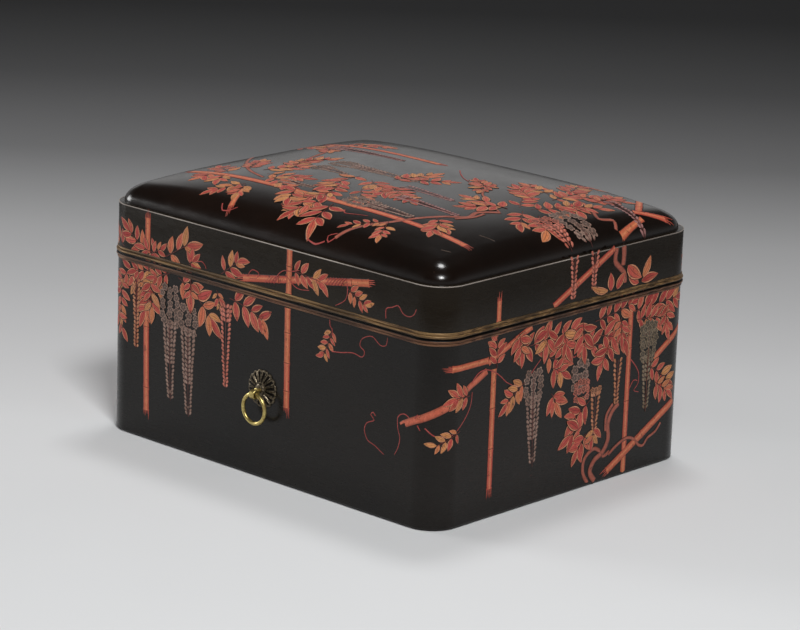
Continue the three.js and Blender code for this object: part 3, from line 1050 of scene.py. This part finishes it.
    def raceme(self, u, v, length, width, heading=-90.0, colour=GREY, head=0.3, lean=0.0, core=(104, 56, 50)):
        """A hanging flower spike: open flowers at the head, then paired buds that shrink to the tip."""
        pick = self.random
        heading, lean = math.radians(heading), math.radians(lean)
        steps = 16
        axis, turns = [], []
        x, y = u, v
        for i in range(steps + 1):
            turn = heading + lean * i / steps
            axis.append((x, y))
            turns.append(turn)
            x += length / steps * math.cos(turn)
            y += length / steps * math.sin(turn)

        def along(t):
            i = min(int(t * steps), steps - 1)
            return blend(axis[i], axis[i + 1], t * steps - i), turns[i]

        def beside(t, off):
            (px, py), turn = along(t)
            return px - math.sin(turn) * off, py + math.cos(turn) * off

        self.stroke(axis, 0.7, core, taper=0.4)
        t = 0.0
        while t < head:
            spread = width * (0.34 + 0.16 * math.sin(math.pi * (t / head) ** 0.7))
            for off in (-0.86, 0.0, 0.86):
                place = beside(t + pick.uniform(-0.02, 0.02), spread * off + pick.uniform(-0.6, 0.6))
                self.floret(*place, width * pick.uniform(0.30, 0.38), self.tone(colour, 10))
            t += width * 0.27 / length
        t = max(head * 0.85, 0.01)
        bud_length, bud_width, bud_pace = 3.8, 2.3, 3.1
        while t < 0.97:
            near = (t - head * 0.85) / (1 - head * 0.85)
            half = width * (0.40 - 0.21 * near)
            turn = along(t)[1]
            size = 1 - 0.22 * near
            for side in (-1, 1):
                starts = (0.4, half - 2.4) if half > 4.6 else (max(half - 2.5, 0.3),)
                for start in starts:
                    direction = turn + side * math.radians(pick.uniform(132, 146))
                    place = beside(t + 1.6 / length, side * start)
                    reach = bud_length * size * pick.uniform(0.88, 1.08)
                    self.bud(*place, direction, reach, bud_width * size, self.tone(colour, 14), core)
            t += bud_pace * size / length
        self.bud(*axis[-2], turns[-1] + math.pi, bud_length * 0.7, bud_width * 0.6, colour, core)
        self.settle()

    def tendril(self, path, width=0.75):
        self.stroke(path, width, TENDRIL, (112, 40, 38), taper=0.35)
        self.settle()

    def vine(self, path, width, colour=VINE):
        self.stroke(path, width, colour, tuple(c * 0.72 for c in colour), 0.15, outlined=True)
        self.settle()

    def finish(self, name, body):
        piece = make_object(name, self.points, self.faces, PAINT, body, (), 60)
        layer = piece.data.color_attributes.new("tint", "FLOAT_COLOR", "POINT")
        layer.data.foreach_set("color", [c for tint in self.tints for c in tint])
        return piece


def blend(first, second, share):
    return tuple(a + (b - a) * share for a, b in zip(first, second))


def spline(path, spacing=2.2):
    """Points along a smooth curve through the given ones, about as far apart as spacing."""
    points = []
    padded = [path[0], *path, path[-1]]
    for i in range(1, len(padded) - 2):
        p0, p1, p2, p3 = (Vector(padded[i + k]) for k in (-1, 0, 1, 2))
        steps = max(math.ceil((p2 - p1).length / spacing), 2)
        for step in range(steps):
            t = step / steps
            q = 2 * p1 + (p2 - p0) * t
            q += (2 * p0 - 5 * p1 + 4 * p2 - p3) * t**2
            q += (3 * p1 - p0 - 3 * p2 + p3) * t**3
            points.append((q.x / 2, q.y / 2))
    points.append(tuple(path[-1]))
    return points


def paint_body_front(p):
    p.pole((-146, 101.5), (-90, 109), 4.4, (False, False))
    p.pole((-110.5, 112), (-108.8, 20), 5.2, joint=40)
    p.pole((20.5, 117.5), (21.5, 52), 5.0, joint=18)
    for stalk in (
        (-122, 116, -140, 18, 9, 0.3, 0),
        (-134, 106, -96, 26, 9, 0.35, 8),
        (-140, 84, -60, 14, 9.5, 0.35, 0),
        (-124, 113, -62, 16, 9, 0.35, 0),
        (-100, 117, 186, 20, 9.5, 0.3, 10),
        (-95, 118, -118, 34, 12, 0.4, 0),
        (-106, 112, -86, 20, 11, 0.55, 0),
        (-88, 118, -160, 14, 9, 0.2, 0),
    ):
        p.spray(*stalk)
    p.raceme(-119.5, 108, 47, 9.5, colour=OCHRE, head=0.0, core=(120, 56, 50))
    p.raceme(-87.5, 107, 75, 16, colour=GREY, head=0.34, lean=3)
    p.raceme(-70, 97, 72, 17, colour=GREY, head=0.22, lean=3)
    for stalk in (
        (-80, 117, -24, 38, 14, 0.35, -22, -52),
        (-68, 118, -88, 10, 9, 0.2, 0, None),
        (-44, 116, -70, 10, 6, 0.3, 0, None),
        (-32, 113, -8, 31, 12.5, 0.3, -14, -66),
        (60, 113, -104, 20, 6.6, 0.35, -14, 200),
    ):
        p.spray(*stalk)
    p.raceme(-35, 108, 55, 13, colour=ROSE, head=0.0, lean=2)
    for path in (
        [(57.5, 118), (58, 114), (60, 112), (60, 108)],
        [
            (60, 98), (68, 99), (78, 101), (86, 100), (88, 104), (84, 107),
            (86, 112), (94, 115), (101, 111), (106, 112), (107, 117),
        ],
        [(99, 65), (97, 67), (95, 65), (98, 62), (92, 59), (90, 54), (93, 48), (99, 46), (107, 42)],
        [(128, 70), (123, 72), (118, 69), (118, 62), (120, 56), (119, 50), (116, 44)],
    ):
        p.tendril(path)


def paint_lid_front(p):
    p.pole((-109.5, 127.5), (-109.5, 151), 4.8, (False, True))
    for stalk in (
        (-132, 127.5, 150, 14, 9, 0.3, 0),
        (-112, 127.5, 142, 19, 11, 0.35, 0),
        (-98, 128, 172, 14, 10, 0.15, 0),
        (-106, 127.5, 30, 9, 8, 0.25, 0),
        (-92, 128.5, 30, 23, 14, 0.4, 0, 8),
        (-70, 127.5, 40, 4, 9, 0.2, 0),
        (-40, 127.5, 36, 18, 10.5, 0.4, 0, 18),
    ):
        p.spray(*stalk)
    p.pole((-20, 129), (90, 148), 4.8, (True, True), joint=30)
    p.pole((21, 127), (21, 155.5), 4.8, (False, False), joint=16)
    for stalk in (
        (23, 142.5, -2, 26, 10, 0.4, -6, -48, 5),
        (72, 141, -30, 17, 7.5, 0.4, 10, 12, 4),
    ):
        p.spray(*stalk)
    for path in (
        [(-63, 131), (-58, 132), (-55, 130), (-54, 128)],
        [(-16, 131), (-12, 136), (-6, 135), (-8, 131), (-14, 130)],
        [(8, 131), (11, 137), (16, 141), (23, 142), (30, 144)],
        [(18, 139), (26, 133), (32, 132), (39, 133)],
        [(71, 146), (72, 139), (70, 133), (62, 128)],
        [(105, 129), (105, 135), (110, 137), (115, 139), (119, 135), (124, 134), (128, 136), (130, 140)],
    ):
        p.tendril(path)
    for start_u, start_v, turns in ((53, 139.8, 6), (0, 130, 4)):
        for turn in range(turns):
            u, v = start_u + 2.6 * turn, start_v + 0.4 * turn
            p.tendril([(u, v), (u + 2.2, v + 2.7), (u + 4.5, v + 5.3)], 0.9)


def paint_body_side(p):
    p.pole((-110, 103.5), (-78, 103.5), 4.2, (True, False), joint=34)
    p.pole((-78, 102), (-38, 118), 4.2, (False, False), joint=30)
    p.pole((-72.5, 97), (-72.5, 19), 4.8, joint=30)
    p.pole((60, 112), (60, 1.5), 4.8, (False, False), joint=32)
    p.pole((43, 6), (110, 41), 5.4, (True, False), joint=34)
    p.pole((86, 74), (114, 91), 4.6, (False, False))
    for path, width in (
        ([(24, 2), (19, 10), (20, 19), (28, 24), (34, 22), (39, 17), (45, 19)], 3.0),
        ([(31, 2), (26, 9), (30, 16), (38, 20), (43, 28), (42, 38), (46, 46), (52, 50)], 4.0),
        ([(40, 34), (40, 44), (46, 51)], 2.6),
        ([(44, 17), (53, 22), (62, 24.5), (70, 22), (75, 17), (80, 16), (84, 20), (92, 23), (97, 28)], 2.2),
    ):
        p.vine(path, width)
    for path, width in (
        ([(-134, 70), (-139, 69), (-145, 65)], 2.0),
        ([(-79, 97), (-87, 93), (-94, 90), (-102, 85), (-112, 80)], 4.6),
        ([(-110, 81), (-120, 76), (-128, 72), (-133, 70), (-141, 66)], 5.4),
    ):
        p.vine(path, width, BRANCH)
    for path in (
        [(-93, 92), (-87, 97), (-80, 98), (-72, 95), (-66, 91), (-60, 86), (-52, 82)],
        [(-126, 66), (-119, 61), (-110, 61), (-103, 65), (-97, 71), (-93, 78), (-92, 86)],
        [(62, 78), (67, 73), (71, 67), (71, 60), (67, 56), (72, 54)],
        [(62, 58), (66, 63), (70, 62)],
        [(-133, 71), (-131, 74)],
        [(-131, 67), (-129, 64)],
        [(-40, 84), (-34, 90), (-28, 95)],
        [(2, 95), (4, 90), (10, 92), (16, 90)],
    ):
        p.tendril(path, 0.9)
    for stalk in (
        (-94, 84, 178, 12, 9.5, 0.3, 0, 200, 3),
        (-102, 63, 205, 18, 7.4, 0.5, 0, 176, 4),
        (-70, 97, 92, 20, 9.6, 0.1, 0, 100, 4),
        (-42, 83, 208, 20, 10, 0.5, 10, 232, 4),
        (-58, 105, 2, 62, 13, 0.08, 2, None, 7),
        (-24, 96, -20, 18, 11, 0.08, 0, None, 3),
    ):
        p.spray(*stalk)
    p.raceme(-34, 87, 62, 17, colour=GREY, head=0.30, lean=4)
    for stalk in (
        (-16, 70, -58, 8, 12, 0.3, 0, -64, 2),
        (-18, 88, -28, 12, 11, 0.1, 0, None, 2),
        (2, 96, -4, 44, 12.5, 0.1, 0, None, 6),
    ):
        p.spray(*stalk)
    p.raceme(6, 76, 14, 20, heading=0, colour=GREY, head=1.0)
    p.raceme(8, 66, 14, 14, heading=0, colour=ROSE, head=1.0)
    p.raceme(49, 80, 30, 11, colour=OCHRE, head=0.0)
    p.raceme(28, 64, 32, 12, colour=OCHRE, head=0.1)
    for stalk in (
        (22, 58, 214, 18, 12.5, 0.08, 0, 232, 3),
        (16, 42, 200, 12, 13, 0.08, 0, 212, 2),
        (20, 36, 230, 12, 11, 0.08, 0, 240, 3),
        (28, 40, -100, 8, 9, 0.25, 0, None, 2),
        (24, 110, 6, 36, 11, 0.15, 6, None, 5),
        (28, 100, -10, 26, 13, 0.12, -10, -62, 3),
        (50, 108, -84, 12, 9, 0.2, 0, None, 3),
        (62, 110, 2, 44, 13, 0.1, 2, -8, 6),
        (66, 104, -6, 28, 11, 0.12, 0, -52, 5),
        (-50, 116, -78, 12, 11, 0.1, 0, None, 2),
        (-22, 116, -96, 12, 12, 0.1, 0, None, 2),
        (-8, 112, -70, 14, 12, 0.12, 0, None, 2),
        (12, 112, -84, 16, 12, 0.1, 0, None, 3),
        (40, 94, -118, 14, 12, 0.1, 0, None, 2),
        (96, 106, -80, 12, 10, 0.1, 0, None, 2),
    ):
        p.spray(*stalk)
    p.raceme(73, 92, 14, 16, heading=0, colour=(134, 116, 94), head=1.0)
    p.raceme(80, 96, 57, 15, colour=(134, 116, 94), head=0.4, core=(120, 70, 54))
    for stalk in (
        (80, 70, -24, 26, 10, 0.4, -20, -40, 4),
        (88, 58, -34, 16, 9.5, 0.5, 0, None, 3),
    ):
        p.spray(*stalk)


def paint_lid_side(p):
    p.pole((-70, 127), (-70, 140), 4.0, (False, True))
    p.pole((-18, 127.5), (40, 155.5), 4.6, (False, False), joint=20)
    p.vine([(42, 155.5), (41, 147), (46, 142), (51, 137), (52, 131)], 4.0)
    p.vine([(49, 155.5), (49.5, 150), (49, 143)], 4.6)
    p.raceme(0.5, 156, 27, 10, colour=ROSE, head=0.0)
    p.raceme(20.5, 156, 24, 10, colour=ROSE, head=0.0)
    for u, v, angle, length, width, warmth in (
        (35, 128.6, 171, 18, 5, 0.9),
        (38, 128, 92, 12, 6.5, 0.8),
        (44, 128, 58, 13, 6.5, 0.1),
        (66, 128.5, 152, 14, 6, 0.5),
        (54, 142, -42, 18, 9, 0.05),
        (69, 129, 12, 17, 6.5, 0.3),
        (70, 132, 54, 15, 6.5, 0.6),
    ):
        p.leaf(u, v, math.radians(angle), length, width, warmth)


def paint_top(p):
    """The picture on the lid hangs towards +X, and runs over the edge there."""
    p.pole((-116, 52), (-10, 48), 5.0, (True, True))
    p.pole((-122, -73), (126, -77), 5.2, (True, True), joint=40)
    p.pole((70, 54), (118, 53), 4.4, (True, False))
    p.pole((107, 117), (134, 82), 4.6, (False, False))
    p.pole((132, 79), (142, 100), 4.4, (False, True))
    p.pole((139, 80), (145, 52), 3.6, (False, False))
    for path, width in (
        ([(-140, 6), (-118, -24), (-100, -44), (-82, -58), (-62, -66)], 2.4),
        ([(-92, 30), (-84, 6), (-78, -12), (-72, -30), (-66, -50)], 2.6),
        ([(99, -14), (92, -28), (95, -40), (86, -52), (78, -66), (70, -82), (58, -98), (50, -113)], 3.4),
        ([(96, -26), (97, -38), (93, -50)], 2.2),
        ([(122, 50), (132, 44), (136, 54), (142, 50)], 2.6),
        ([(56, 22), (66, 6), (84, -6), (98, -14)], 1.6),
    ):
        p.vine(path, width)
    p.pole((-56, -90), (-46, -110), 4.0, (False, True), joint=12)
    for stalk in (
        (-92, -68, 150, 22, 11, 0.4, 0),
        (-100, -74, -100, 8, 11, 0.45, 0, None, 2),
        (-90, -74, -64, 10, 11, 0.25, 0, None, 2),
        (-88, -54, 118, 28, 10, 0.35, 0),
        (-76, -52, 60, 26, 11, 0.3, 0),
        (-70, -34, 100, 30, 11, 0.3, 0),
        (-78, -22, 66, 26, 10, 0.3, 0),
        (-66, -58, 14, 26, 11, 0.3, 0),
        (-58, -62, -22, 26, 11, 0.3, 0),
        (-62, -82, -122, 20, 9.5, 0.4, 0, None, 4),
        (-60, -84, -66, 14, 9, 0.35, 0, None, 3),
        (-130, 34, 10, 34, 11, 0.3, 0),
        (-112, 44, -40, 28, 10, 0.3, 0),
        (-104, 58, 12, 30, 10, 0.3, 0),
    ):
        p.spray(*stalk)
    p.raceme(-56, -2, 76, 15, 0, GREY, 0.24, -3)
    p.raceme(-56, -20, 30, 13, -8, GREY, 0.3, 0)
    p.raceme(-46, -64, 28, 11, 2, GREY, 0.0, 0)
    p.raceme(-100, 38, 70, 12, -2, MAUVE, 0.2, 0)
    for stalk in (
        (-18, -20, -84, 36, 12, 0.3, 0),
        (-12, -44, -64, 32, 12, 0.3, 0),
        (0, -62, -112, 26, 11, 0.35, 0),
        (-4, -24, -34, 34, 12, 0.3, 0),
        (4, -12, 78, 30, 11, 0.35, 0),
        (14, -2, 40, 20, 10, 0.35, 0),
        (2, -30, -12, 40, 12, 0.3, -8),
        (18, -28, -26, 34, 11, 0.3, 0),
        (8, -46, -48, 28, 11, 0.3, 0),
        (-6, -78, -72, 20, 12, 0.4, 0, None, 3),
        (6, -80, -104, 20, 12, 0.35, 0, None, 3),
        (16, -80, -74, 26, 13.5, 0.2, 0, -58, 3),
        (-24, -74, -60, 16, 11, 0.5, 0, None, 3),
        (46, 34, -60, 24, 9, 0.45, 0),
        (58, 20, 150, 20, 9, 0.4, 0),
    ):
        p.spray(*stalk)
    p.raceme(22, -19, 46, 11, -4, MAUVE, 0.0, 0)
    p.raceme(38, -42, 52, 12, -2, MAUVE, 0.0, 0)
    p.raceme(16, -66, 58, 14, -2, GREY, 0.4, 0)
    for stalk in (
        (66, -86, -140, 22, 7, 0.4, 0, None, 4),
        (68, -84, -62, 20, 8, 0.4, 0, None, 4),
        (84, -58, -30, 20, 9, 0.4, 0, None, 3),
        (92, -62, -66, 16, 10, 0.4, 0, None, 3),
        (96, -4, 186, 26, 12, 0.35, 0),
        (92, -4, -122, 20, 12, 0.2, 0, None, 3),
        (98, 6, 128, 34, 12, 0.3, 0),
        (104, 10, 70, 30, 12, 0.25, 0),
        (104, 2, -52, 24, 12, 0.25, 0, None, 3),
        (114, 6, -36, 22, 13, 0.3, 0, -52, 3),
        (92, 26, 152, 26, 11, 0.35, 0),
        (98, 38, 96, 30, 11, 0.3, 0),
        (108, 34, 60, 26, 11, 0.25, 0),
        (100, 60, 60, 30, 11, 0.3, 0),
        (92, 62, 118, 28, 11, 0.35, 0),
        (88, 46, 170, 20, 10, 0.4, 0),
        (112, 66, 100, 24, 10, 0.3, 0),
        (118, 44, -80, 16, 12, 0.15, 0, None, 2),
        (84, 88, 96, 22, 9, 0.35, 0),
        (60, 112, 8, 30, 8, 0.3, 0),
    ):
        p.spray(*stalk)
    p.raceme(118, 22, 28, 20, 0, GREY, 0.9, 0)
    p.raceme(120, 2, 26, 18, 0, ROSE, 0.4, 0)
    p.raceme(114, 76, 32, 12, -4, MAUVE, 0.0, 0)
    for path in (
        [(30, -84), (34, -88), (42, -86), (50, -84)],
        [(50, -113), (47, -116), (44, -113), (49, -110)],
        [(44, -116), (38, -118), (30, -117)],
        [(-54, -110), (-50, -114), (-44, -113), (-40, -110)],
        [(12, 44), (20, 36), (30, 28), (38, 24)],
        [(-30, -76), (-34, -72), (-28, -70), (-22, -72)],
    ):
        p.tendril(path, 0.9)
    # Two short pale strokes on the right of the top.
    for path in ([(120, -57), (125, -55), (130, -54)], [(122, -94), (128, -92)]):
        p.stroke(path, 0.7, PALE_STREAK, taper=0.5)


def paint_everything():
    """The hidden sides repeat the scheme of the seen ones, with other leaves."""
    length = ROUND / MM
    parts = (
        ("body_front_painting", "body", 0, 3, paint_body_front),
        ("body_right_painting", "body", SIDE_START, 5, paint_body_side),
        ("body_back_painting", "body", length / 2, 7, paint_body_front),
        ("body_left_painting", "body", length / 2 + SIDE_START, 11, paint_body_side),
        ("lid_front_painting", "lid", 0, 13, paint_lid_front),
        ("lid_right_painting", "lid", SIDE_START, 17, paint_lid_side),
        ("lid_back_painting", "lid", length / 2, 19, paint_lid_front),
        ("lid_left_painting", "lid", length / 2 + SIDE_START, 23, paint_lid_side),
        ("lid_top_painting", "lid", None, 29, paint_top),
    )
    for name, body, start, seed, paint in parts:
        painting = Painting(TopChart() if start is None else WallChart(start), seed)
        paint(painting)
        painting.finish(name, body)


# Stage, light and camera


def add_floor():
    """A pale sweep that darkens far behind the box, and past the table's near edge out of view, with painted
    light falloff that darkens it towards the sides.
    """
    half = 4.5
    corners = [(-half, -half), (half, -half), (half, half), (-half, half)]
    mesh = bpy.data.meshes.new("floor")
    mesh.from_pydata([(x, y, -0.0002) for x, y in corners], [], [(0, 1, 2, 3)])
    shader = Shader("floor_sweep", 0.8, specular=0.2)
    azimuth = math.radians(CAMERA_AZIMUTH)

    def along(direction, start, end):
        """0 to 1 between two distances in that direction."""
        product = shader.tree.nodes.new("ShaderNodeVectorMath")
        product.operation = "DOT_PRODUCT"
        product.inputs[1].default_value = direction
        shader.link(shader.coordinates(), product.inputs[0])
        ranged = shader.tree.nodes.new("ShaderNodeMapRange")
        ranged.inputs["From Min"].default_value = start
        ranged.inputs["From Max"].default_value = end
        shader.link(product.outputs["Value"], ranged.inputs["Value"])
        return ranged.outputs["Result"]

    away = along((-math.sin(azimuth), math.cos(azimuth), 0), -1.0, 2.0)
    across = along((math.cos(azimuth), math.sin(azimuth), 0), -1.2, 1.2)
    depth = shader.ramp(
        away,
        (0.0, linear(60, 60, 61)),
        (0.18, linear(226, 227, 228)),
        (0.34, linear(221, 222, 223)),
        (0.42, linear(202, 202, 203)),
        (0.52, linear(176, 176, 177)),
        (0.62, linear(124, 124, 125)),
        (0.74, linear(84, 84, 85)),
        (0.88, linear(46, 46, 47)),
    )
    # Painted light falloff: the floor's colour darkens towards both sides, as if a pool of light fell on its
    # middle.
    painted_side_falloff = shader.ramp(across, (0.1, 0.8), (0.35, 0.97), (0.5, 1.0), (0.66, 1.0), (0.84, 0.7))
    mottle = shader.ramp(shader.noise(shader.coordinates(), 3, 3), (0.3, 0.97), (0.7, 1.0))
    shader.set("Base Color", shader.mix(1.0, shader.mix(1.0, depth, painted_side_falloff, "MULTIPLY"), mottle, "MULTIPLY"))
    mesh.materials.append(shader.material)
    floor = bpy.data.objects.new("floor", mesh)
    bpy.context.scene.collection.objects.link(floor)


def add_light(name, azimuth, elevation, distance, size, power, target=(0, 0, 0.1)):
    data = bpy.data.lights.new(name, "AREA")
    data.shape = "RECTANGLE"
    data.size, data.size_y = size
    data.energy = power
    lamp = bpy.data.objects.new(name, data)
    a, e = math.radians(azimuth), math.radians(elevation)
    back = Vector((math.sin(a) * math.cos(e), -math.cos(a) * math.cos(e), math.sin(e)))
    lamp.location = Vector(target) + back * distance
    lamp.rotation_mode = "QUATERNION"
    lamp.rotation_quaternion = (-back).to_track_quat("-Z", "Y")
    bpy.context.scene.collection.objects.link(lamp)


def add_camera():
    a, e, r = (math.radians(x) for x in (CAMERA_AZIMUTH, CAMERA_ELEVATION, CAMERA_ROLL))
    back = Vector((math.sin(a) * math.cos(e), -math.cos(a) * math.cos(e), math.sin(e)))
    right = Vector((0, 0, 1)).cross(back).normalized()
    up = back.cross(right)
    rolled_right = right * math.cos(r) + up * math.sin(r)
    rolled_up = -right * math.sin(r) + up * math.cos(r)
    data = bpy.data.cameras.new("camera")
    data.lens = CAMERA_LENS
    data.sensor_width = 36
    data.clip_end = 50
    camera = bpy.data.objects.new("camera", data)
    camera.matrix_world = Matrix((
        (rolled_right.x, rolled_up.x, back.x, 0),
        (rolled_right.y, rolled_up.y, back.y, 0),
        (rolled_right.z, rolled_up.z, back.z, 0),
        (0, 0, 0, 1),
    ))
    camera.location = (
        Vector((0, 0, CAMERA_AIM_HEIGHT))
        + back * CAMERA_DISTANCE
        + rolled_right * CAMERA_SHIFT_RIGHT
        + rolled_up * CAMERA_SHIFT_UP
    )
    bpy.context.scene.collection.objects.link(camera)
    bpy.context.scene.camera = camera


def light_scene():
    """A dark studio with a pale horizon, one lamp above, one over the camera and one low on the left."""
    world = bpy.data.worlds.new("studio")
    world.use_nodes = True
    tree = world.node_tree
    direction = tree.nodes.new("ShaderNodeTexCoord").outputs["Generated"]
    split = tree.nodes.new("ShaderNodeSeparateXYZ")
    ramp = tree.nodes.new("ShaderNodeValToRGB")
    tree.links.new(direction, split.inputs[0])
    tree.links.new(split.outputs["Z"], ramp.inputs["Fac"])
    elements = ramp.color_ramp.elements
    elements.new(0.3)
    elements.new(0.45)
    for element, (position, grey) in zip(elements, ((0.0, 0.36), (0.22, 0.30), (0.42, 0.10), (0.60, 0.03))):
        element.position = position
        element.color = (grey, grey, grey, 1)
    tree.links.new(ramp.outputs["Color"], tree.nodes["Background"].inputs["Color"])
    bpy.context.scene.world = world
    add_light("overhead", -150, 74, 1.8, (0.38, 0.32), 8)
    add_light("camera_side", 52, 49, 2.2, (0.46, 0.46), 34)
    add_light("back_card", -137.5, 19, 2.6, (2.6, 0.9), 2.5)
    add_light("left_key", -66, 14, 1.9, (0.7, 0.6), 12)
    bpy.context.scene.view_settings.view_transform = "Standard"


body_shell()
lid_shell()
lid_dome()
bottom_board()
inner_lip()
mouth_rim("body_rim_metal", -1, BODY_RIM, "body", "body_mouth_rim")
mouth_rim("lid_rim_metal", 1, LID_RIM, "lid", "lid_mouth_rim")
ledge_line()
add_fitting("front", True)
add_fitting("back", False)
paint_everything()
add_floor()
light_scene()
add_camera()
